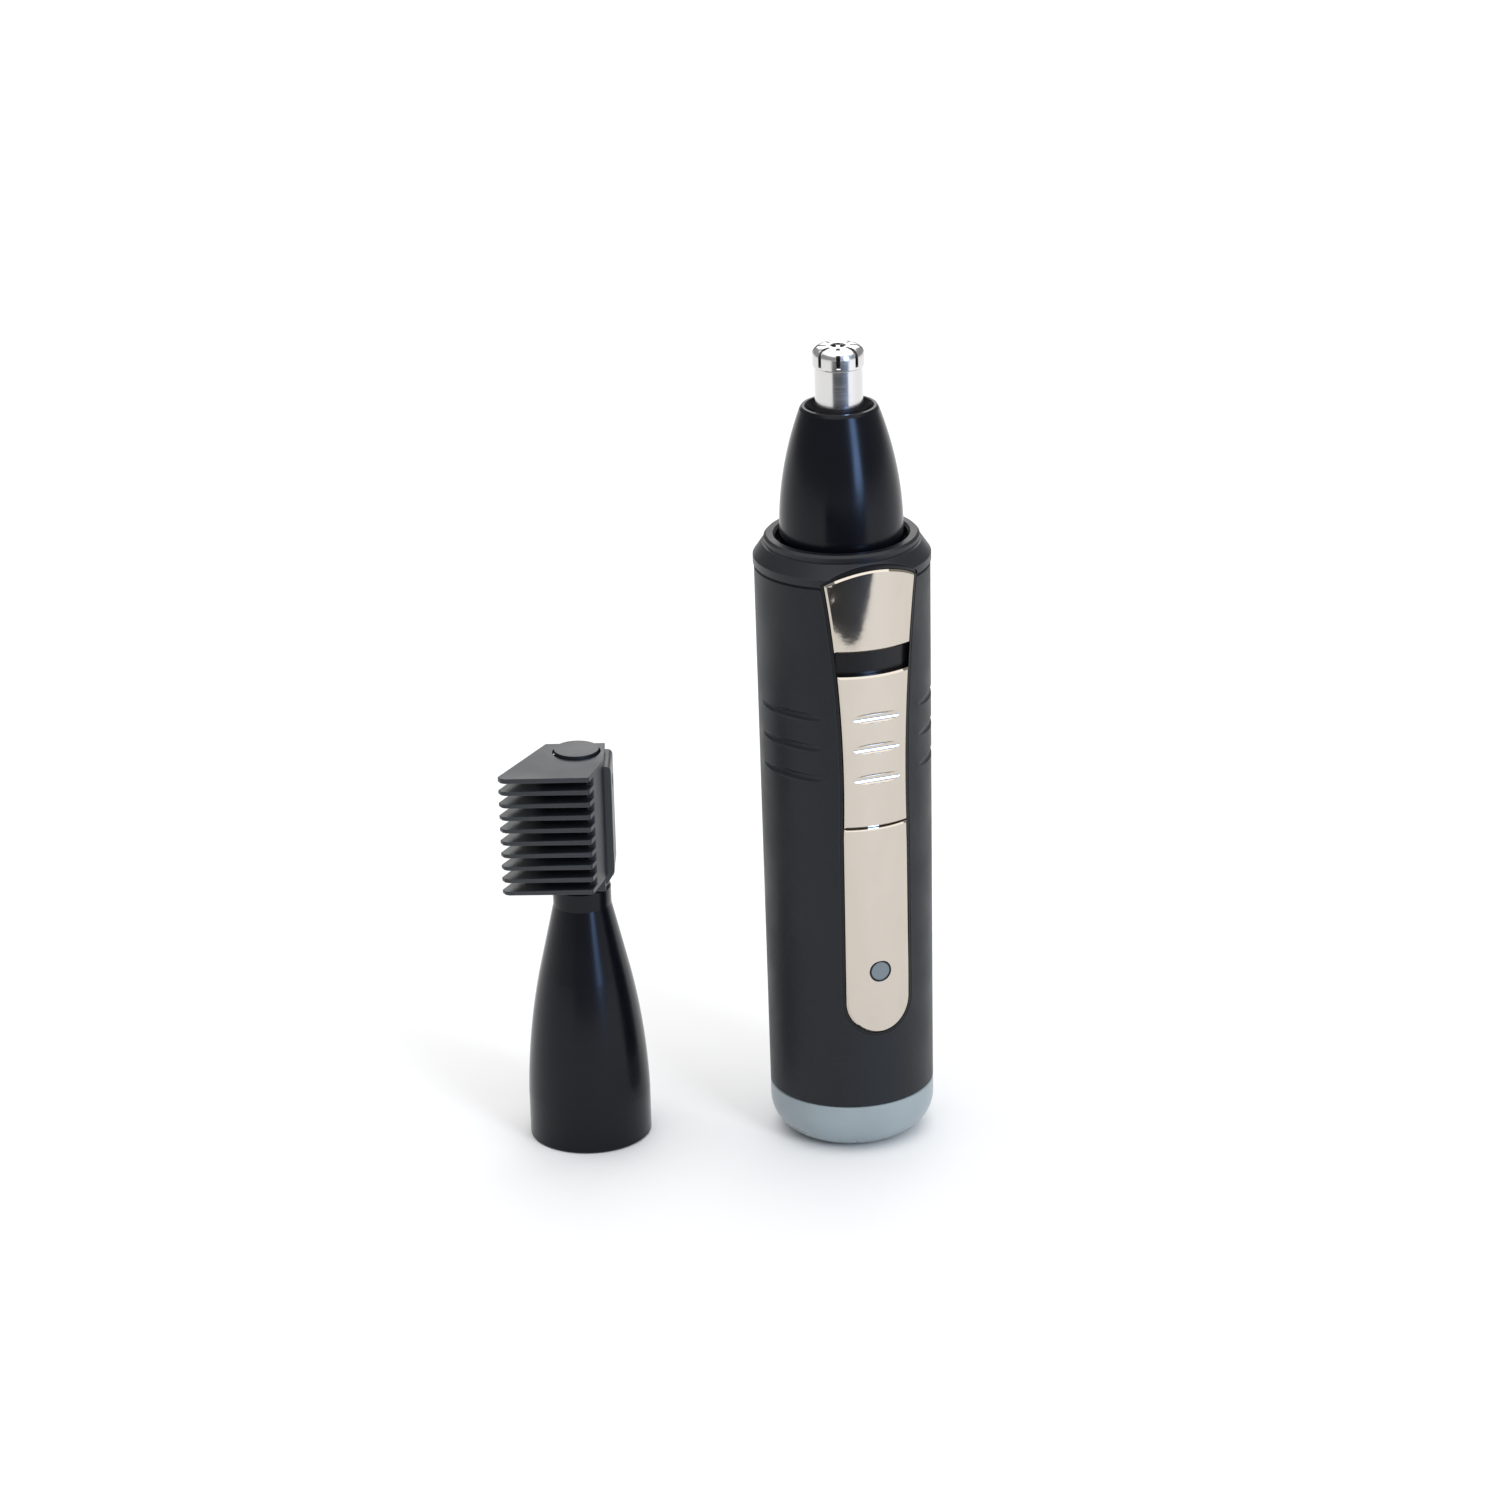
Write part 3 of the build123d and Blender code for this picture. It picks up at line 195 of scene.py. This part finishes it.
# ---------------------------------------------------------------- materials
looks = {
    "handle_matte": moulded("handle_matte", (0.0095, 0.0115, 0.0145), 0.46, edge_highlight_gain=1.9,
                            Specular_IOR_Level=0.28),
    "collar_black": moulded("collar_black", (0.010, 0.011, 0.014), 0.36, depth=0.008 * MM, edge_highlight_gain=2.0,
                            Specular_IOR_Level=0.35),
    "cap_grey": moulded("cap_grey", (0.30, 0.36, 0.39), 0.32, grain=0.18 * MM, depth=0.006 * MM, edge_highlight_gain=1.15),
    "bezel_black": moulded("bezel_black", (0.004, 0.004, 0.005), 0.25, depth=0.003 * MM,
                           Specular_IOR_Level=0.3),
    "head_black": moulded("head_black", (0.0035, 0.004, 0.007), 0.22, grain=0.5 * MM, depth=0.002 * MM,
                          edge_highlight_gain=2.0, uneven=0.03, Specular_IOR_Level=0.22),
    "comb_black": moulded("comb_black", (0.016, 0.019, 0.023), 0.38, depth=0.006 * MM, edge_highlight_gain=2.2),
    "inner_plastic": moulded("inner_plastic", (0.62, 0.61, 0.56), 0.45, depth=0.01 * MM, edge_highlight_gain=1.1),
    "seal_rubber": moulded("seal_rubber", (0.015, 0.015, 0.015), 0.7),
    "lead_insulation": moulded("lead_insulation", (0.35, 0.02, 0.015), 0.4),
    "board_green": moulded("board_green", (0.01, 0.10, 0.035), 0.35),
    "chip_black": moulded("chip_black", (0.012, 0.012, 0.013), 0.5),
    "cell_sleeve": moulded("cell_sleeve", (0.02, 0.13, 0.06), 0.3),
    "lens_clear": moulded("lens_clear", (0.16, 0.20, 0.23), 0.10, depth=0.002 * MM, edge_highlight_gain=1.2),
    "led_red": moulded("led_red", (0.5, 0.03, 0.02), 0.2),
    "magnet_grey": moulded("magnet_grey", (0.05, 0.05, 0.05), 0.55),
    "panel_chrome": plated("panel_chrome", (0.58, 0.525, 0.455), 0.045),
    "cutter_steel": turned_steel("cutter_steel", (0.70, 0.69, 0.68), 0.2),
    "screw_steel": turned_steel("screw_steel", (0.55, 0.55, 0.54), 0.3),
    "motor_steel": turned_steel("motor_steel", (0.6, 0.6, 0.58), 0.28),
    "contact_brass": turned_steel("contact_brass", (0.72, 0.52, 0.22), 0.25),
    "winding_copper": turned_steel("winding_copper", (0.65, 0.27, 0.12), 0.35),
    "armature_iron": turned_steel("armature_iron", (0.3, 0.3, 0.3), 0.45),
}
slot_of = {part["node"]: part["material_slot"] for part in frame["record"]["subparts"]}
for name, slot in slot_of.items():
    materials = frame["nodes"][name].data.materials
    materials.clear()
    materials.append(looks[slot])

# ---------------------------------------------------------------- softened copies of the CAD's sharp pieces
smallest_join = 0.001 * MM
flat_within = math.radians(0.5)
bevel_from = math.radians(35)
smooth_below = math.radians(38)


def add_piece(name, mesh, slot, body):
    """Turns a bmesh into a smooth-shaded piece with a slot's look, and parents it to an empty named after
    its body.
    """
    data = bpy.data.meshes.new(name)
    mesh.to_mesh(data)
    mesh.free()
    data.shade_smooth()
    data.materials.append(looks[slot])
    piece = bpy.data.objects.new(name, data)
    bpy.context.collection.objects.link(piece)
    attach(piece, body)
    return piece


def softened(node, body, width, shape=None):
    """A piece that stands for a CAD node: its flats are joined up, shape moves its points, and its edges
    are rounded over width."""
    mesh = bmesh.new()
    mesh.from_mesh(frame["nodes"][node].data)
    bmesh.ops.remove_doubles(mesh, verts=mesh.verts, dist=smallest_join)
    bmesh.ops.dissolve_limit(mesh, angle_limit=flat_within, verts=mesh.verts, edges=mesh.edges)
    if shape:
        for vertex in mesh.verts:
            vertex.co = shape(vertex.co)
    sharp = [edge for edge in mesh.edges
             if len(edge.link_faces) == 2 and edge.calc_face_angle() > bevel_from]
    bmesh.ops.bevel(mesh, geom=sharp, offset=width, offset_type="OFFSET", segments=3, profile=0.5,
                    affect="EDGES", clamp_overlap=True)
    piece = add_piece(node + "_soft", mesh, slot_of[node], body)
    piece.data.set_sharp_from_angle(angle=smooth_below)
    shading = piece.modifiers.new("flat faces stay flat", "WEIGHTED_NORMAL")
    shading.keep_sharp = True
    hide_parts(node)


comb_low, comb_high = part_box("guide_comb")
comb_teeth = 10
tooth = 0.85 * MM
tooth_pitch = (comb_high[2] - comb_low[2] - tooth) / (comb_teeth - 1)
slim_over = 4 * MM
slimmer_by = 0.25


def slim_tips(point):
    """Thins the comb's teeth towards their tips, above and below each tooth's middle."""
    reach = min(1.0, max(0.0, 1 - (point.x - comb_low[0]) / slim_over))
    index = round((point.z - comb_low[2] - tooth / 2) / tooth_pitch)
    if index >= comb_teeth - 1:
        return point
    middle = comb_low[2] + tooth / 2 + index * tooth_pitch
    return Vector((point.x, point.y, middle + (point.z - middle) * (1 - slimmer_by * reach)))


softened("guide_comb", "comb", 0.14 * MM, slim_tips)
softened("rear_cover", "side_head", 0.25 * MM)
softened("blade_post", "side_head", 0.2 * MM)

# ---------------------------------------------------------------- rim of the indicator's hole
def turned_ring(name, body, slot, centre, profile, steps=64):
    """A ring round the Y axis through centre: profile is its section, as (radius, y) points in order."""
    mesh = bmesh.new()
    rows = []
    for step in range(steps):
        turn = 2 * math.pi * step / steps
        rows.append([mesh.verts.new((centre[0] + r * math.cos(turn), y, centre[2] + r * math.sin(turn)))
                     for r, y in profile])
    for here, there in zip(rows, rows[1:] + rows[:1]):
        for index in range(len(profile)):
            after = (index + 1) % len(profile)
            mesh.faces.new((here[index], here[after], there[after], there[index]))
    bmesh.ops.recalc_face_normals(mesh, faces=mesh.faces)
    add_piece(name, mesh, slot, body)


lens_low, lens_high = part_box("indicator_lens")
lens_centre = (Vector(lens_low) + Vector(lens_high)) / 2
lens_front = lens_low[1]
lens_r = (lens_high[0] - lens_low[0]) / 2
rim_width, rim_rise, rim_lap, rim_depth = 0.34 * MM, 0.07 * MM, 0.12 * MM, 0.2 * MM
rim_inside = lens_r - rim_lap
crown_steps = 8
crown = [(rim_inside + rim_width * (0.5 - 0.5 * math.cos(t)), lens_front - rim_rise * math.sin(t))
         for t in (math.pi * step / crown_steps for step in range(crown_steps + 1))]
foot = [(rim_inside + rim_width, lens_front + rim_depth), (rim_inside, lens_front + rim_depth)]
turned_ring("lens_rim", "handle", "bezel_black", lens_centre, crown + foot)

# ---------------------------------------------------------------- floor, light and camera
camera_azimuth, camera_elevation, camera_distance, camera_roll = -21.0, 21.5, 0.85, -1.1
centre = (0.0, 0.0, 0.065)


def around(azimuth, elevation, distance, centre=centre):
    """The place at a distance from centre, seen along azimuth and elevation (degrees)."""
    a, e = math.radians(azimuth), math.radians(elevation)
    back = Vector((math.sin(a) * math.cos(e), -math.cos(a) * math.cos(e), math.sin(e)))
    return Vector(centre) + distance * back


def card(name, corners, look):
    """A flat card of the studio set, with its corners in order."""
    data = bpy.data.meshes.new(name)
    data.from_pydata([tuple(corner) for corner in corners], [], [tuple(range(len(corners)))])
    data.materials.append(look.material)
    made = bpy.data.objects.new(name, data)
    bpy.context.collection.objects.link(made)
    return made


floor_half = 6.0
paper_grain, paper_depth = 0.6 * MM, 0.01 * MM
floor_look = Shader("floor_paper", (0.92, 0.92, 0.92), 0.9)
floor_look.bump(floor_look.noise(paper_grain, detail=3), paper_depth)
card("floor", [(-floor_half, -floor_half, 0), (floor_half, -floor_half, 0),
               (floor_half, floor_half, 0), (-floor_half, floor_half, 0)], floor_look)

# a black flag that lies in front of the object, and that only mirror-like rays see
weave_size, weave_depth = 1.5 * MM, 0.05 * MM
flag_look = Shader("flag_cloth", (0.01, 0.01, 0.01), 0.9)
flag_look.bump(flag_look.noise(weave_size), weave_depth)
flag_start, flag_end = -50, 25
flag_near, flag_far = 0.316, 1.3
flag_centre = (0, 0, 2 * MM)
flag_corners = ((flag_start, flag_near), (flag_end, flag_near), (flag_end, flag_far), (flag_start, flag_far))
flag = card("flag", [around(azimuth, 0, distance, flag_centre) for azimuth, distance in flag_corners],
            flag_look)
flag.visible_camera = False
flag.visible_diffuse = False
flag.visible_shadow = False

world = bpy.data.worlds.new("studio")
bpy.context.scene.world = world
world.use_nodes = True
background = world.node_tree.nodes["Background"]
background.inputs["Color"].default_value = (1.0, 1.0, 1.0, 1.0)
background.inputs["Strength"].default_value = 0.34


def softbox(name, place, aim, size, power, color=(1.0, 1.0, 1.0)):
    """A rectangular soft light at place that faces aim."""
    data = bpy.data.lights.new(name, "AREA")
    data.shape = "RECTANGLE"
    data.size, data.size_y = size
    data.energy = power
    data.color = color
    lamp = bpy.data.objects.new(name, data)
    lamp.location = place
    lamp.rotation_euler = (Vector(aim) - Vector(place)).to_track_quat("-Z", "Y").to_euler()
    bpy.context.collection.objects.link(lamp)
    return lamp


key = softbox("key", around(camera_azimuth + 38, elevation=26, distance=1.1), centre,
              size=(0.3, 0.5), power=4.2, color=(0.86, 0.91, 1.0))
strip = softbox("strip", around(camera_azimuth + 36, elevation=18, distance=1.1), centre,
                size=(0.26, 0.72), power=9.0, color=(0.32, 0.53, 1.0))
softbox("back", around(camera_azimuth + 180, elevation=26, distance=1.4), centre,
        size=(1.0, 0.4), power=3.2)
key.visible_glossy = False
strip.visible_diffuse = False
strip.visible_shadow = False
top_x, top_y, top_height = 0.07, 0.19, 2.4
softbox("top", (top_x, top_y, top_height), (top_x, top_y, 0), size=(4.6, 4.6), power=88)

camera_data = bpy.data.cameras.new("camera")
camera_data.sensor_width = 36.0
camera_data.lens = 122.4
camera_data.shift_x = -0.064
camera_data.shift_y = 0.0113
camera = bpy.data.objects.new("camera", camera_data)
camera.location = around(camera_azimuth, camera_elevation, camera_distance)
camera.rotation_euler = (Vector(centre) - camera.location).to_track_quat("-Z", "Y").to_euler()
camera.rotation_euler.rotate_axis("Z", math.radians(camera_roll))
bpy.context.collection.objects.link(camera)
bpy.context.scene.camera = camera
bpy.context.scene.view_settings.view_transform = "Standard"
